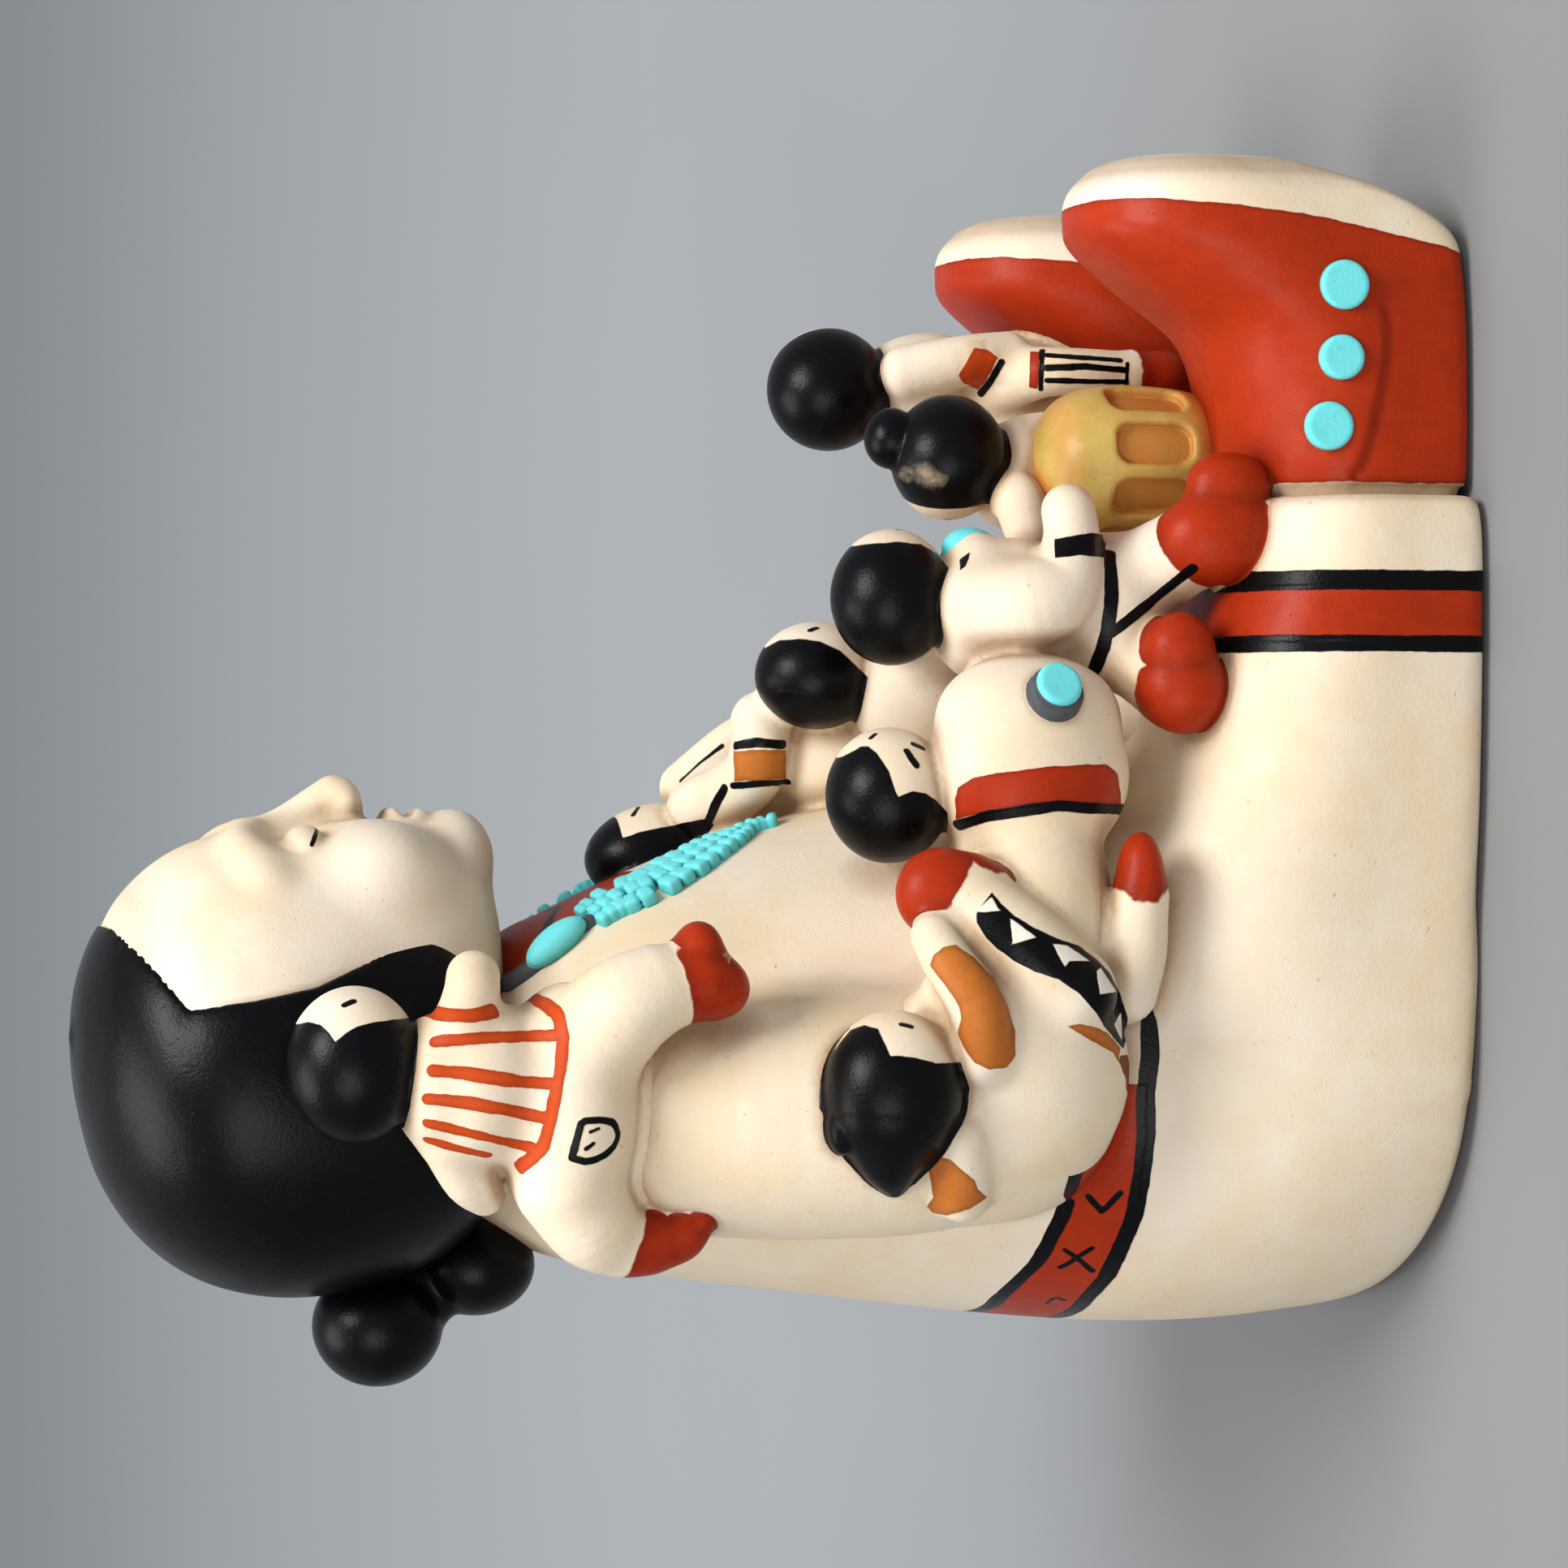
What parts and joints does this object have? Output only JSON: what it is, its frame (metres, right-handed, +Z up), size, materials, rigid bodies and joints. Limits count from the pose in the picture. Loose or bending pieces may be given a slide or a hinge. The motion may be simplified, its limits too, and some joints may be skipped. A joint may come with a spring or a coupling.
{
  "type": "storyteller figurine",
  "caption": "Painted fired-clay figurine of a seated storyteller with small children climbing over the shoulders, arms and lap, for a shelf or mantel.",
  "frame": {"origin": "on the flat underside, below the middle of the figure's box", "axes": "+Z up, the figure faces -Y, its own right side is -X"},
  "size_m": [0.1458, 0.2114, 0.229],
  "materials": {
    "painted_clay": "cream slip with painted colours, satin"
  },
  "bodies": {
    "root": {"storyteller_figurine": "painted_clay"}
  },
  "joints": []
}
